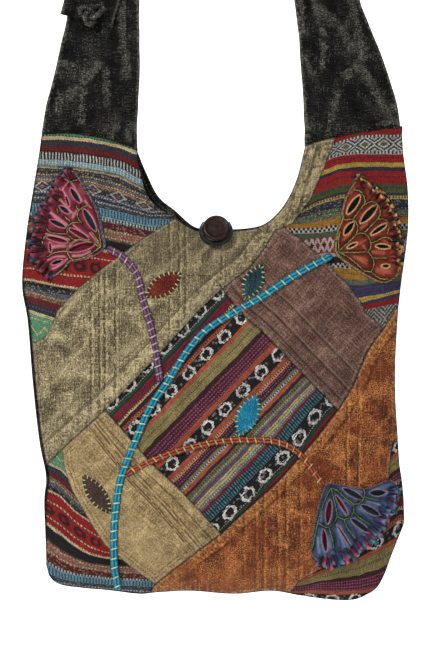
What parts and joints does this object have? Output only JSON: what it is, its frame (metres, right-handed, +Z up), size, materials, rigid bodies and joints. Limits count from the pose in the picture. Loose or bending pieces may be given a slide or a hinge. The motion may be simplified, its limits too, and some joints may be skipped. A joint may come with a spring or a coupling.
{
  "type": "patchwork crossbody bag",
  "caption": "Soft hobo-style cotton bag with a patchwork face, applique vines and gathered flowers, a button and loop at the scooped mouth, and a wide knotted shoulder strap",
  "frame": {"origin": "under the crown of the strap, where the bag hangs", "axes": "+X to the viewer's right across the patchwork face, -Y out of the face, +Z up"},
  "size_m": [0.3826, 0.0744, 0.9311],
  "materials": {
    "left_woven": "striped handwoven cotton",
    "right_woven": "striped handwoven cotton",
    "corner_woven": "striped handwoven cotton",
    "centre_woven": "striped handwoven cotton",
    "olive_cotton": "stonewashed",
    "maroon_cotton": "stonewashed",
    "khaki_cotton": "plain weave",
    "rust_cotton": "stonewashed",
    "black_cotton": "stonewashed",
    "burgundy_cotton": "gathered and frayed",
    "russet_cotton": "gathered and frayed",
    "blue_cotton": "gathered and frayed",
    "red_cotton": "plain weave",
    "teal_cotton": "plain weave",
    "turquoise_cotton": "plain weave",
    "brown_cotton": "plain weave",
    "purple_cotton": "plain weave",
    "orange_cotton": "plain weave",
    "button_wood": "polished coconut shell",
    "loop_cord": "thread-wound cord"
  },
  "bodies": {
    "root": {"left_woven_base": "left_woven", "right_woven_base": "right_woven", "corner_woven_base": "corner_woven", "olive_yoke_patch": "olive_cotton", "maroon_patch": "maroon_cotton", "centre_woven_patch": "centre_woven", "khaki_patch": "khaki_cotton", "rust_patch": "rust_cotton", "back_upper_left": "black_cotton", "back_upper_right": "black_cotton", "back_lower_left": "black_cotton", "back_lower_right": "black_cotton", "burgundy_flower": "burgundy_cotton", "russet_flower": "russet_cotton", "blue_flower": "blue_cotton", "red_leaf": "red_cotton", "teal_leaf": "teal_cotton", "turquoise_leaf": "turquoise_cotton", "brown_leaf": "brown_cotton", "turquoise_vine": "turquoise_cotton", "purple_vine": "purple_cotton", "orange_vine": "orange_cotton", "long_strap": "black_cotton", "short_strap": "black_cotton", "strap_knot": "black_cotton", "button": "button_wood", "button_loop": "loop_cord"}
  },
  "joints": []
}
